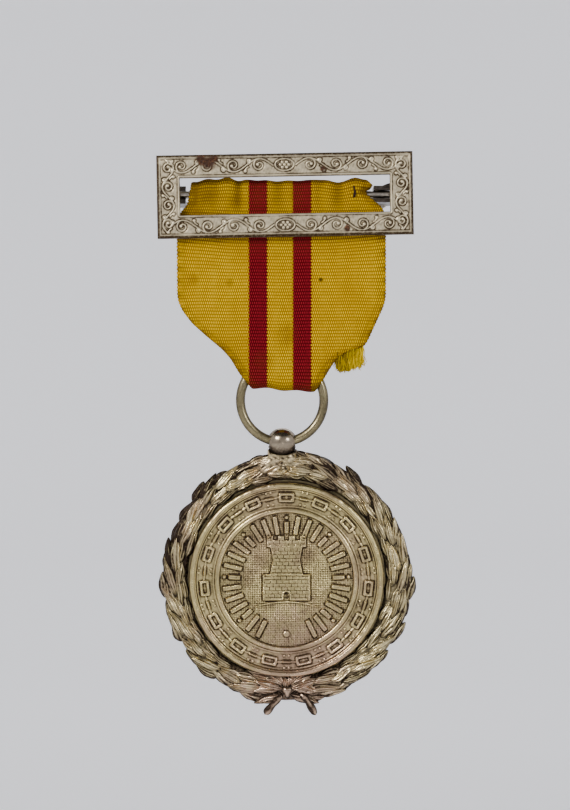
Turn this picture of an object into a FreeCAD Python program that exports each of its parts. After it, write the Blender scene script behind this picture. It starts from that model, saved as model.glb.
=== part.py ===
"""Military service medal: a pin brooch with an engraved buckle, a striped ribbon, a ring and a medal.

The medal hangs as it is worn. X runs to the wearer's left, +Z is up and the obverse faces -Y.
The origin is the middle of the brooch needle. Every length is in millimetres.
"""
import math
import os

import FreeCAD
import Part
from FreeCAD import Vector as V

# buckle
BUCKLE_W, BUCKLE_H, BUCKLE_T = 37.1, 12.05, 0.85
WINDOW_W, WINDOW_H = 30.4, 5.4
BUCKLE_Z = -0.3  # the buckle's centre sits a little below the bar
RELIEF = 0.12  # height of the scrollwork and of the border lines

# brooch fittings
BAR_Y = -3.9  # the bar that carries the ribbon, in front of the needle
BAR_R = 0.5
BAR_HALF = 16.6
BUCKLE_BACK = BAR_Y - 1.75
PIVOT_X = 14.2
NEEDLE_R = 0.45
NEEDLE_NECK = 1.0
SHANK_START, SHANK_END = 11.5, -11.5
NEEDLE_TIP = -15.6
RIVET_R = 0.5
RIVET_GAP = 0.05
EAR_IN, EAR_OUT = 0.62, 1.2

# ribbon
RIBBON_W = 30.0
LAYER = 0.5
HALF_GAP = 0.85  # from the ribbon's middle plane to the inside of each layer
RIBBON_TOP = 1.65
FOLD_Z = -28.5
FLEX_Z = -22.2  # the line the ribbon flexes on, just above the ring

# suspension
RING_Z = -30.0
RING_R = 6.08
WIRE_R = 0.675
BALL_Z = RING_Z - RING_R
BALL_R = 1.95

# medal
MEDAL_Z = -56.1
WREATH_R = 18.7
SEAT_R = 14.4
DISC_R = 14.15
BACK_R = 15.3
BACK_Y = BAR_Y + 0.6  # the plane where the two discs meet
CHAIN_R = 12.0
LINKS = 15
RAYS = 39
CLUSTERS = 10


def save(shape, name):
    """Write one sub-part as a STEP file."""
    shape = shape.removeSplitter()
    solids = shape.Solids
    print(name, len(solids), "solid", round(shape.Volume, 2), "valid", shape.isValid())
    shape.exportStep("parts/" + name + ".step")


def box(x0, x1, y0, y1, z0, z1):
    return Part.makeBox(x1 - x0, y1 - y0, z1 - z0, V(x0, y0, z0))


def rod(r, a, b):
    """A round rod from point a to point b."""
    d = b - a
    return Part.makeCylinder(r, d.Length, a, d)


def prism(points, y0, y1):
    """A front-view outline, given as (x, z) pairs, stretched from y0 to y1."""
    ring = [V(x, y0, z) for x, z in points]
    return Part.Face(Part.makePolygon(ring + ring[:1])).extrude(V(0, y1 - y0, 0))


def arc_rib(cx, cz, r, w, a0, a1, y0, y1):
    """A raised rib that follows part of a circle in front view. Angles are in degrees."""
    def at(rad, a):
        return V(cx + rad * math.cos(math.radians(a)), y0, cz + rad * math.sin(math.radians(a)))
    mid = (a0 + a1) / 2
    ro, ri = r + w / 2, r - w / 2
    edges = [
        Part.Arc(at(ro, a0), at(ro, mid), at(ro, a1)).toShape(),
        Part.makeLine(at(ro, a1), at(ri, a1)),
        Part.Arc(at(ri, a1), at(ri, mid), at(ri, a0)).toShape(),
        Part.makeLine(at(ri, a0), at(ro, a0)),
    ]
    return Part.Face(Part.Wire(edges)).extrude(V(0, y1 - y0, 0))


def fuse(shapes):
    return shapes[0].multiFuse(shapes[1:]) if len(shapes) > 1 else shapes[0]


# ---------------------------------------------------------------- brooch


def frame_line(w, h, wide):
    """A rectangular border line standing on the buckle's face."""
    y0, y1 = BUCKLE_BACK - BUCKLE_T - RELIEF, BUCKLE_BACK - BUCKLE_T + 0.05
    outer = box(-w / 2, w / 2, y0, y1, BUCKLE_Z - h / 2, BUCKLE_Z + h / 2)
    w, h = w - 2 * wide, h - 2 * wide
    return outer.cut(box(-w / 2, w / 2, y0 - 1, y1 + 1, BUCKLE_Z - h / 2, BUCKLE_Z + h / 2))


def curl(cx, cz, size, turn, flip):
    """One scroll of the vine: a wide arc that winds into a small one with a bud at its end."""
    y0, y1 = BUCKLE_BACK - BUCKLE_T - RELIEF, BUCKLE_BACK - BUCKLE_T + 0.05
    s = 1 if flip else -1
    wide = arc_rib(cx, cz, size, 0.2, turn, turn + s * 230, y0, y1)
    end = math.radians(turn + s * 230)
    ix = cx + 0.42 * size * math.cos(end)
    iz = cz + 0.42 * size * math.sin(end)
    tight = arc_rib(ix, iz, size * 0.58, 0.18, turn + s * 228, turn + s * 400, y0 + 0.02, y1)
    bud = Part.makeCylinder(0.17, y1 - y0, V(ix, y0, iz), V(0, 1, 0))
    return [wide, tight, bud]


def scrollwork():
    """Vine scrolls along the four bands, mirrored about a rosette at the middle."""
    out = []
    band = (BUCKLE_H + WINDOW_H) / 4
    y0, y1 = BUCKLE_BACK - BUCKLE_T - RELIEF, BUCKLE_BACK - BUCKLE_T + 0.05
    for side in (1, -1):
        cz = BUCKLE_Z + side * band
        rosette = Part.makeCylinder(0.95, y1 - y0, V(0, y0, cz), V(0, 1, 0))
        rosette = rosette.cut(Part.makeCylinder(0.75, 9, V(0, y0 - 1, cz), V(0, 1, 0)))
        out += [rosette, Part.makeCylinder(0.34, y1 - y0, V(0, y0, cz), V(0, 1, 0))]
        for k in range(4):
            cx = 3.1 + 3.35 * k
            up = (k % 2 == 0) == (side > 0)
            for m in (1, -1):
                turn = 200 if up else 160
                flip = up
                if m < 0:
                    turn, flip = 180 - turn, not flip
                out += curl(m * cx, cz + (0.12 if up else -0.12), 0.78, turn, flip)
    for m in (1, -1):
        cx = m * (BUCKLE_W + WINDOW_W) / 4
        for k, cz in enumerate((-4.0, -1.35, 1.35, 4.0)):
            out += curl(cx, BUCKLE_Z + cz, 0.78, 90 if k % 2 else -90, k % 2 == (m > 0))
    return out


def buckle_frame():
    y0 = BUCKLE_BACK - BUCKLE_T
    plate = box(-BUCKLE_W / 2, BUCKLE_W / 2, y0, BUCKLE_BACK,
                BUCKLE_Z - BUCKLE_H / 2, BUCKLE_Z + BUCKLE_H / 2)
    rim = [e for e in plate.Edges if all(abs(v.Point.y - y0) < 1e-6 for v in e.Vertexes)]
    plate = plate.makeChamfer(0.22, rim)
    hole = box(-WINDOW_W / 2, WINDOW_W / 2, y0 - 1, BUCKLE_BACK + 1,
               BUCKLE_Z - WINDOW_H / 2, BUCKLE_Z + WINDOW_H / 2)
    lines = [frame_line(BUCKLE_W - 0.6, BUCKLE_H - 0.6, 0.2),
             frame_line(WINDOW_W + 0.7, WINDOW_H + 0.7, 0.2)]
    return fuse([plate.cut(hole)] + lines + scrollwork())


def ribbon_bar():
    return rod(BAR_R, V(-BAR_HALF, BAR_Y, 0), V(BAR_HALF, BAR_Y, 0))


def bar_hole():
    return rod(BAR_R, V(-BAR_HALF, BAR_Y, 0), V(BAR_HALF, BAR_Y, 0))


def hinge_bracket():
    """A solder block behind the right-hand band with two ears that run back to the needle's pivot."""
    block = box(15.4, 18.0, BUCKLE_BACK, BAR_Y + 1.0, -EAR_OUT, EAR_OUT)
    shape = [block]
    for z0 in (EAR_IN, -EAR_OUT):
        ear = box(PIVOT_X - 1.3, 18.0, BAR_Y - 0.9, 0, z0, z0 + EAR_OUT - EAR_IN)
        nose = Part.makeCylinder(1.3, EAR_OUT - EAR_IN, V(PIVOT_X, 0, z0))
        rear = box(PIVOT_X, 16.0, -0.5, 0.6, z0, z0 + EAR_OUT - EAR_IN)
        shape += [ear, nose, rear]
    solid = fuse(shape).cut(bar_hole())
    pin = Part.makeCylinder(RIVET_R, 4, V(PIVOT_X, 0, -2))
    return solid.cut(pin)


def hinge_rivet():
    """The pivot, closed over at both ends with a low head."""
    shank = Part.makeCylinder(RIVET_R, 2 * EAR_OUT, V(PIVOT_X, 0, -EAR_OUT))
    heads = []
    for s in (1, -1):
        ball = Part.makeSphere(1.05, V(PIVOT_X, 0, s * (EAR_OUT - 0.62)))
        z = EAR_OUT if s > 0 else -EAR_OUT - 2
        heads.append(ball.common(box(PIVOT_X - 2, PIVOT_X + 2, -2, 2, z, z + 2)))
    return fuse([shank] + heads)


def pin_catch():
    """A solder block behind the left-hand band, a riser and a hook that holds the needle's tip."""
    x0, x1 = -16.6, -14.5
    block = box(-18.0, -15.4, BUCKLE_BACK, BAR_Y + 1.0, -EAR_OUT, EAR_OUT)
    arm = box(x0, x1, BAR_Y - 0.6, 1.2, -1.4, -0.78)
    lip = box(x0, x1, 0.75, 1.25, -1.4, -0.6)
    riser = box(x0, x1, BAR_Y + 0.8, BAR_Y + 1.4, -1.4, 1.3)
    return fuse([block, arm, lip, riser]).cut(bar_hole())


def needle():
    """A steel needle: a flat eye on the pivot, a square neck, a round shank and a ground point."""
    eye = Part.makeCylinder(1.2, 1.0, V(PIVOT_X, 0, -0.5))
    half = NEEDLE_NECK / 2
    neck = box(SHANK_START, PIVOT_X - 0.7, -half, half, -half, half)
    shank = rod(NEEDLE_R, V(SHANK_START, 0, 0), V(SHANK_END, 0, 0))
    point = Part.makeCone(NEEDLE_R, 0.08, SHANK_END - NEEDLE_TIP, V(SHANK_END, 0, 0), V(-1, 0, 0))
    hole = Part.makeCylinder(RIVET_R + RIVET_GAP, 4, V(PIVOT_X, 0, -2))
    return fuse([eye, neck, shank, point]).cut(hole)


# ---------------------------------------------------------------- ribbon


def layers(z0, z1):
    """Two flat layers of ribbon, front and back, across the full width."""
    out = []
    for y0 in (BAR_Y - HALF_GAP - LAYER, BAR_Y + HALF_GAP):
        out.append(box(-18, 18, y0, y0 + LAYER, z0, z1))
    return out


def turned_fold(z, up):
    """Half a tube of ribbon that joins the front layer to the back one."""
    tube = rod(HALF_GAP + LAYER, V(-18, BAR_Y, z), V(18, BAR_Y, z))
    tube = tube.cut(rod(HALF_GAP, V(-19, BAR_Y, z), V(19, BAR_Y, z)))
    half = box(-19, 19, BAR_Y - 3, BAR_Y + 3, z, z + 3) if up else \
        box(-19, 19, BAR_Y - 3, BAR_Y + 3, z - 3, z)
    return tube.common(half)


def drape_outline():
    """The ribbon in front view: drawn in at the bar, full width, then folded in towards the ring."""
    w = RIBBON_W / 2
    left = -w - 0.2
    right = w - 0.2
    return [(-13.9, 2.5), (-14.05, -3.7), (-14.9, -5.0), (left, -6.2), (left, -15.2), (-14.9, -16.2),
            (-14.1, -17.5), (-13.0, -18.8), (-11.9, -19.9), (-10.9, -20.7), (-9.4, -21.9),
            (-9.4, -24.0), (11.6, -24.0), (12.3, -21.2), (13.1, -19.5), (14.1, -17.6),
            (14.6, -16.5), (right, -15.4), (right, -6.4), (14.0, -5.2), (12.65, -3.8),
            (12.4, -2.2), (11.3, -0.2), (10.4, 1.2), (10.2, 2.5)]


def loop_outline():
    """The folded end of the ribbon that passes through the ring."""
    return [(-9.3, -20.0), (-9.2, -22.0), (-8.1, -23.2), (-6.9, -24.8), (-5.8, -26.4),
            (-4.75, -27.9), (-4.75, -29.5), (4.75, -29.5), (4.75, -27.9), (5.8, -26.7),
            (6.8, -25.2), (8.0, -23.6), (9.2, -22.0), (9.2, -20.0)]


def flex_cylinder(r):
    return rod(r, V(-19, BAR_Y, FLEX_Z), V(19, BAR_Y, FLEX_Z))


def ribbon_drape():
    top = RIBBON_TOP - HALF_GAP - LAYER
    body = fuse(layers(FLEX_Z, top) + [turned_fold(top, True)])
    body = body.common(prism(drape_outline(), BAR_Y - 3, BAR_Y + 3))
    return body.cut(flex_cylinder(HALF_GAP + LAYER + 0.3))


def ribbon_loop():
    low = FOLD_Z + HALF_GAP + LAYER
    body = fuse(layers(low, FLEX_Z + 2) + [turned_fold(low, False)])
    body = body.common(prism(loop_outline(), BAR_Y - 3, BAR_Y + 3))
    above = box(-19, 19, BAR_Y - 3, BAR_Y + 3, FLEX_Z, FLEX_Z + 3)
    keep = above.cut(flex_cylinder(HALF_GAP + LAYER))
    return body.cut(keep)


def frayed_end():
    """The cut end of the ribbon, which sticks out behind the fold on one side."""
    outline = [(9.9, -19.8), (12.2, -19.8), (12.3, -21.4), (11.9, -24.4), (11.2, -25.9),
               (10.5, -26.1), (9.9, -25.4), (9.7, -23.0)]
    return prism(outline, BAR_Y - HALF_GAP + 0.3, BAR_Y + HALF_GAP)


def tack_stitch():
    """One dark tacking thread over the ribbon's front, beside the bar's right-hand end."""
    y = BAR_Y - HALF_GAP - LAYER - 0.13
    thread = rod(0.13, V(9.6, y, -0.7), V(9.75, y, 0.25))
    ends = [Part.makeSphere(0.13, V(9.6, y, -0.7)), Part.makeSphere(0.13, V(9.75, y, 0.25))]
    return fuse([thread] + ends)


def back_seam():
    """The thread that closes the ribbon's loop, along the back."""
    y = BAR_Y + HALF_GAP + LAYER + 0.13
    return rod(0.13, V(-11.5, y, -9.0), V(11.5, y, -9.0))


# ---------------------------------------------------------------- suspension


def suspension_ring():
    return Part.makeTorus(RING_R, WIRE_R, V(0, BAR_Y, RING_Z), V(0, 1, 0))


def wire_passage():
    """The flared hole that lets the ball turn freely round the curved wire."""
    inner = RING_R - WIRE_R
    reach = BALL_R + 0.3

    def at(x):
        r = RING_R + 0.07 - math.sqrt(inner * inner - x * x)
        return V(x, BAR_Y, BALL_Z + r)
    edges = [
        Part.makeLine(V(-reach, BAR_Y, BALL_Z), at(-reach)),
        Part.Arc(at(-reach), at(0), at(reach)).toShape(),
        Part.makeLine(at(reach), V(reach, BAR_Y, BALL_Z)),
        Part.makeLine(V(reach, BAR_Y, BALL_Z), V(-reach, BAR_Y, BALL_Z)),
    ]
    return Part.Face(Part.Wire(edges)).revolve(V(0, BAR_Y, BALL_Z), V(1, 0, 0), 360)


def suspension_ball():
    return Part.makeSphere(BALL_R, V(0, BAR_Y, BALL_Z)).cut(wire_passage())


def ball_collar():
    """A flared saddle that carries the ball on the top of the wreath."""
    z = BALL_Z
    edges = [
        Part.makeLine(V(0, BAR_Y, z - 1.25), V(1.45, BAR_Y, z - 1.25)),
        Part.Arc(V(1.45, BAR_Y, z - 1.25), V(1.5, BAR_Y, z - 1.8), V(2.1, BAR_Y, z - 2.5)).toShape(),
        Part.makeLine(V(2.1, BAR_Y, z - 2.5), V(2.1, BAR_Y, z - 2.9)),
        Part.makeLine(V(2.1, BAR_Y, z - 2.9), V(0, BAR_Y, z - 2.9)),
        Part.makeLine(V(0, BAR_Y, z - 2.9), V(0, BAR_Y, z - 1.25)),
    ]
    turned = Part.Face(Part.Wire(edges)).revolve(V(0, BAR_Y, z), V(0, 0, 1), 360)
    slab = box(-3, 3, BAR_Y - 1.25, BAR_Y + 1.0, z - 4, z)
    return turned.common(slab).cut(Part.makeSphere(BALL_R, V(0, BAR_Y, z)))


# ---------------------------------------------------------------- medal


def leaf(length, width, edge, crown):
    """One laurel leaf with a raised midrib. It lies along +X from the origin, its face towards -Y."""
    half = [0.0, 0.62, 1.0, 0.84, 0.45, 0.0]
    along = [0.0, 0.16, 0.42, 0.68, 0.88, 1.0]
    rib = [edge, edge + 0.8 * crown, edge + crown, edge + crown, edge + 0.6 * crown, edge]
    up = [(t * length, h * width / 2) for t, h in zip(along, half)]
    low = [(x, -z) for x, z in up[1:-1]]
    ring = up + low[::-1]
    faces = [Part.Face(Part.makePolygon([V(x, 0, z) for x, z in ring + ring[:1]]))]
    for (xa, za), (xb, zb) in zip(ring, ring[1:] + ring[:1]):
        a, b = V(xa, 0, za), V(xb, 0, zb)
        c, d = V(xb, -edge, zb), V(xa, -edge, za)
        faces.append(Part.Face(Part.makePolygon([a, b, c, d, a])))
    for s in (1, -1):
        for i in range(len(up) - 1):
            a = V(up[i][0], -edge, s * up[i][1])
            b = V(up[i + 1][0], -edge, s * up[i + 1][1])
            c = V(up[i + 1][0], -rib[i + 1], 0)
            d = V(up[i][0], -rib[i], 0)
            for tri in ((a, b, c), (a, c, d)):
                if (tri[1] - tri[0]).cross(tri[2] - tri[0]).Length > 1e-6:
                    faces.append(Part.Face(Part.makePolygon(list(tri) + [tri[0]])))
    return Part.Solid(Part.Shell(faces))


def placed_leaf(kind, angle, side):
    """A leaf of one cluster, at an angle measured from the bottom of the wreath."""
    length, width, edge, crown, radius, tilt = kind
    shape = leaf(length, width, edge, crown)
    a = math.radians(angle)
    x = side * radius * math.sin(a)
    z = MEDAL_Z - radius * math.cos(a)
    heading = angle - tilt if side > 0 else 180 - angle + tilt
    place = FreeCAD.Placement(V(x, BAR_Y + 0.3, z), FreeCAD.Rotation(V(0, 1, 0), -heading))
    shape.Placement = place
    return shape


def wreath_leaves():
    """Two laurel sprays that grow from the bow up to the ball, three leaves to a cluster."""
    out = []
    for k in range(CLUSTERS):
        a = 9.5 + 15.6 * k
        outer = (5.2, 2.1, 0.75, 0.42, 16.55, 24)
        inner = (4.9, 1.9, 0.85, 0.4, 15.6, -9)
        middle = (5.2, 2.0, 1.15, 0.45, 16.1, 8)
        for kind, shift in ((outer, -1.0), (inner, 3.0), (middle, 5.0)):
            for side in (1, -1):
                out.append(placed_leaf(kind, a + shift, side))
    return out


def disc(r, y0, y1):
    return Part.makeCylinder(r, y1 - y0, V(0, y0, MEDAL_Z), V(0, 1, 0))


def strap(x0, z0, x1, z1, r, y0, y1):
    """A round-ended strap between two points of the front view, from y0 to y1."""
    a, b = V(x0, y0, z0), V(x1, y0, z1)
    along = (b - a).normalize()
    side = V(-along.z, 0, along.x) * r
    edges = [
        Part.makeLine(a + side, b + side),
        Part.Arc(b + side, b + along * r, b - side).toShape(),
        Part.makeLine(b - side, a - side),
        Part.Arc(a - side, a - along * r, a + side).toShape(),
    ]
    return Part.Face(Part.Wire(edges)).extrude(V(0, y1 - y0, 0))


def bow_solid():
    """The bow that ties the sprays: a knot, two short loops and two tails."""
    y = BAR_Y
    z = MEDAL_Z
    parts = [Part.makeCylinder(0.95, 1.5, V(0, y - 1.9, z - 15.75), V(0, 1, 0))]
    for s in (1, -1):
        parts.append(strap(s * 0.3, z - 16.0, s * 3.3, z - 18.55, 0.58, y - 1.3, y - 0.35))
        parts.append(strap(s * 0.3, z - 15.7, s * 3.3, z - 15.5, 0.62, y - 1.55, y - 0.4))
    return fuse(parts)


def wreath(bow):
    base = disc(16.9, BAR_Y - 0.35, BACK_Y)
    head = box(-2.6, 2.6, BAR_Y - 0.45, BACK_Y, MEDAL_Z + 15.0, MEDAL_Z + 17.9)
    body = fuse([base, head] + wreath_leaves())
    for k in range(3):
        stud = Part.makeSphere(0.42, V((k - 1) * 0.9, BAR_Y - 0.75, MEDAL_Z + 16.6 - 0.6 * (k == 1)))
        body = body.fuse(stud)
    body = body.common(disc(WREATH_R, BAR_Y - 5, BACK_Y))
    body = body.cut(disc(SEAT_R, BAR_Y - 6, BAR_Y + 6))
    body = body.cut(Part.makeSphere(BALL_R + 0.02, V(0, BAR_Y, BALL_Z)))
    body = body.cut(bow)
    return max(body.Solids, key=lambda s: s.Volume)


def at_medal(shape, angle):
    """Turn a shape that stands above the medal's centre clockwise round it."""
    shape.rotate(V(0, 0, MEDAL_Z), V(0, 1, 0), angle)
    return shape


def chain(floor):
    """Fifteen flat links and the short bars between them."""
    out = []
    pitch = 360 / LINKS
    for k in range(LINKS):
        z = MEDAL_Z + CHAIN_R
        link = box(-1.1, 1.1, floor - 0.22, floor + 0.05, z - 0.62, z + 0.62)
        link = link.cut(box(-0.75, 0.75, floor - 1, floor + 1, z - 0.3, z + 0.3))
        out.append(at_medal(link, k * pitch))
        bar = box(-1.55, 1.55, floor - 0.14, floor + 0.05, z - 0.16, z + 0.16)
        out.append(at_medal(bar, (k + 0.5) * pitch))
        for dx in (-0.45, 0.45):
            for dz in (-0.7, 0.7):
                dot = Part.makeCylinder(0.15, 0.17, V(dx, floor - 0.12, z + dz), V(0, 1, 0))
                out.append(at_medal(dot, (k + 0.5) * pitch))
    return out


def radial_bars(floor):
    """A plain ring of raised rays, open at the bottom round a single stud."""
    out = []
    for k in range(RAYS):
        angle = -153 + k * 306 / (RAYS - 1)
        short = k % 4 == 3
        r0, r1 = (6.6, 8.25) if short else (6.5, 9.2)
        ray = box(-0.22, 0.22, floor - 0.24, floor + 0.05, MEDAL_Z + r0, MEDAL_Z + r1)
        out.append(at_medal(ray, angle))
        if short:
            dot = Part.makeCylinder(0.26, 0.27, V(0, floor - 0.22, MEDAL_Z + 8.9), V(0, 1, 0))
            out.append(at_medal(dot, angle))
    stud = Part.makeCylinder(0.45, 0.3, V(0, floor - 0.25, MEDAL_Z - 7.9), V(0, 1, 0))
    return out + [stud]


def tower(floor):
    """A plain two-storey tower with battlements and a round-headed door."""
    y0, y1 = floor - 0.35, floor + 0.05
    z = MEDAL_Z
    foot = box(-3.4, 3.4, y0, y1, z - 3.0, z + 0.75)
    shaft = prism([(-2.35, z + 0.5), (2.35, z + 0.5), (2.0, z + 4.2), (2.75, z + 4.9),
                   (-2.75, z + 4.9), (-2.0, z + 4.2)], y0 + 0.06, y1)
    top = box(-2.75, 2.75, y0, y1, z + 4.85, z + 5.75)
    parts = [foot, shaft, top]
    for k in range(4):
        x = -2.75 + k * 1.55
        parts.append(box(x, x + 0.85, y0, y1, z + 5.7, z + 6.4))
    door = fuse([box(-0.42, 0.42, y0 - 1, y1 - 0.1, z - 3.1, z - 2.1),
                 Part.makeCylinder(0.42, y1 - y0 + 0.9, V(0, y0 - 1, z - 2.1), V(0, 1, 0))])
    ground = box(-4.6, 4.6, floor - 0.12, y1, z - 3.35, z - 2.95)
    return [fuse(parts).cut(door), ground]


def obverse_disc():
    """The struck front disc: rolled rim, chain band, bead, bar ring and tower."""
    field, band = BAR_Y - 0.75, BAR_Y - 0.95

    def p(r, y):
        return V(r, y, MEDAL_Z)
    edges = [
        Part.makeLine(p(0, BACK_Y), p(0, field)),
        Part.makeLine(p(0, field), p(9.65, field)),
        Part.Arc(p(9.65, field), p(10.0, BAR_Y - 1.25), p(10.4, band)).toShape(),
        Part.makeLine(p(10.4, band), p(13.05, band)),
        Part.Arc(p(13.05, band), p(13.65, BAR_Y - 1.6), p(DISC_R, BAR_Y - 1.05)).toShape(),
        Part.makeLine(p(DISC_R, BAR_Y - 1.05), p(DISC_R, BACK_Y)),
        Part.makeLine(p(DISC_R, BACK_Y), p(0, BACK_Y)),
    ]
    blank = Part.Face(Part.Wire(edges)).revolve(V(0, 0, MEDAL_Z), V(0, 1, 0), 360)
    return fuse([blank] + chain(band) + radial_bars(field) + tower(field))


def reverse_disc():
    """The plain back disc, soldered over the obverse disc and the wreath."""
    plate = disc(BACK_R, BACK_Y, BACK_Y + 0.7)
    edge = [e for e in plate.Edges if all(abs(v.Point.y - BACK_Y - 0.7) < 1e-6 for v in e.Vertexes)]
    edge = [e for e in edge if e.Length > 50]
    plate = plate.makeChamfer(0.15, edge)
    dish = disc(BACK_R - 1.4, BACK_Y + 0.5, BACK_Y + 1)
    return plate.cut(dish)


def main():
    os.makedirs("parts", exist_ok=True)
    bow = bow_solid()
    collar = ball_collar()
    disc_space = disc(SEAT_R, BAR_Y - 6, BAR_Y + 6)
    save(buckle_frame(), "buckle_frame")
    save(ribbon_bar(), "ribbon_bar")
    save(hinge_bracket(), "hinge_bracket")
    save(hinge_rivet(), "hinge_rivet")
    save(pin_catch(), "pin_catch")
    save(needle(), "needle")
    save(ribbon_drape(), "ribbon_drape")
    save(ribbon_loop(), "ribbon_loop")
    save(frayed_end(), "frayed_end")
    save(tack_stitch(), "tack_stitch")
    save(back_seam(), "back_seam")
    save(suspension_ring(), "suspension_ring")
    save(suspension_ball(), "suspension_ball")
    medal_frame = wreath(bow)
    save(max(collar.cut(medal_frame).Solids, key=lambda s: s.Volume), "ball_collar")
    save(medal_frame, "wreath")
    save(bow.cut(disc_space), "wreath_bow")
    save(obverse_disc(), "obverse_disc")
    save(reverse_disc(), "reverse_disc")


main()
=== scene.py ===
"""A service medal on its striped ribbon, with an engraved buckle and a brooch pin.

Lengths in this script are millimetres in the row frame unless a name says otherwise: X to the right,
+Z up, the obverse towards -Y.
"""

import math

import bpy
import numpy as np
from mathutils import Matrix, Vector


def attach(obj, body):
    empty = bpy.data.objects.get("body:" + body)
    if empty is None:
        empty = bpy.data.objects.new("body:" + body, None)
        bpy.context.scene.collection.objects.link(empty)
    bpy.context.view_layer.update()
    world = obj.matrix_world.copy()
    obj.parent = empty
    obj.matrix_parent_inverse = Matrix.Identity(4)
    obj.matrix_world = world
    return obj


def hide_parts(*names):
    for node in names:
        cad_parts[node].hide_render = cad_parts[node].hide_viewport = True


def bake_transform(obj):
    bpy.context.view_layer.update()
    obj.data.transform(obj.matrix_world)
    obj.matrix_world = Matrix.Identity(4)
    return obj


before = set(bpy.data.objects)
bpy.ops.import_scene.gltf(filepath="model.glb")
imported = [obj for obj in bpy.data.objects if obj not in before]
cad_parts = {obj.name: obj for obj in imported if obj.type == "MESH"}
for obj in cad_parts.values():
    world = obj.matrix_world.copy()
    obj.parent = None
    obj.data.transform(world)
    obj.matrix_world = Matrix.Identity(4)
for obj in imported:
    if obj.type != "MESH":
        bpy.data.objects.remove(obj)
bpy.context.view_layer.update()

MM = 0.001
PI = math.pi
BAR_Y = -3.9
BUCKLE_Z = -0.3
BUCKLE_W, BUCKLE_H = 37.1, 12.05
WINDOW_W, WINDOW_H = 30.4, 5.4
BUCKLE_FACE, BUCKLE_BACK = BAR_Y - 2.6, BAR_Y - 1.75
RING_Z, RING_R, WIRE_R = -30.0, 6.08, 0.675
BALL_Z, BALL_R = RING_Z - RING_R, 2.05
MEDAL_Z = -56.1
PITCH = 0.47  # rib to rib along the ribbon
HALF_YARN = 0.155  # half the distance between yarns across the ribbon
BUCKLE_TILT = 0.018  # the buckle sits a degree off square, the other pieces a little to either side
RIBBON_X, RING_X, MEDAL_X = -0.38, -0.42, 0.22
PAPER_GLOW = (0.03, 0.46)  # how brightly the paper glows in front of the medal and behind it
rng = np.random.default_rng(7)


# ---- small helpers


def step(a, b, x):
    """0 below a, 1 above b, smooth between."""
    t = np.clip((x - a) / (b - a), 0, 1)
    return t * t * (3 - 2 * t)


def unit(x):
    """x, held to 0..1."""
    return np.clip(x, 0, 1)


def hill(x, centre, width):
    """A bell curve, 1 at the centre."""
    return np.exp(-((x - centre) / width) ** 2)


def dome(d, radius):
    """A round bump: 1 where d is 0, falling to 0 at the radius."""
    return unit(1 - (d / radius) ** 2) ** 0.5


def ramp(n):
    """n values from 0 to 1."""
    return np.linspace(0, 1, n)


def circle(n):
    """n angles evenly round a full turn."""
    return np.linspace(0, 2 * PI, n, endpoint=False)


def points(*axes):
    """Arrays of coordinates, one for each axis, spread to one shape and joined."""
    return np.stack(np.broadcast_arrays(*axes), -1)


def top_of(d, soft):
    """1 inside a shape whose signed distance is d, 0 outside, with a sloping edge."""
    return 1 - step(-soft, soft, d)


def box_dist(x, z, hx, hz, r=0.0):
    """Signed distance to a rectangle of half sizes hx, hz with corner radius r."""
    qx, qz = np.abs(x) - hx + r, np.abs(z) - hz + r
    outside = np.hypot(np.maximum(qx, 0), np.maximum(qz, 0))
    return outside + np.minimum(np.maximum(qx, qz), 0) - r


def wobble(x, z, size, seed=0):
    """Smooth noise of about -1..1, for dents and wear."""
    gen = np.random.default_rng(seed)
    x, z = np.broadcast_arrays(np.asarray(x, float), np.asarray(z, float))
    out = np.zeros_like(x)
    for k in range(7):
        a = gen.uniform(0, 2 * PI)
        f = 2 * PI / (size * gen.uniform(0.6, 1.7))
        out += np.sin(f * (x * math.cos(a) + z * math.sin(a)) + gen.uniform(0, 6))
    return out / 3.5


def blurred(h, times, wrap=False):
    """h with each value averaged with its neighbours, several times over."""
    for _ in range(times):
        for axis in (0, 1):
            pad = [(0, 0), (0, 0)]
            pad[axis] = (1, 1)
            mode = "wrap" if wrap and axis == 1 else "edge"
            p = np.pad(h, pad, mode=mode)
            lo = np.take(p, range(0, h.shape[axis]), axis)
            hi = np.take(p, range(2, h.shape[axis] + 2), axis)
            h = (lo + 2 * h + hi) / 4
    return h


def recess(h, times, depth, wrap=False):
    """0..1: how far each point lies below what is round it."""
    return np.clip((blurred(h, times, wrap) - h) / depth, 0, 1)


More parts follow.
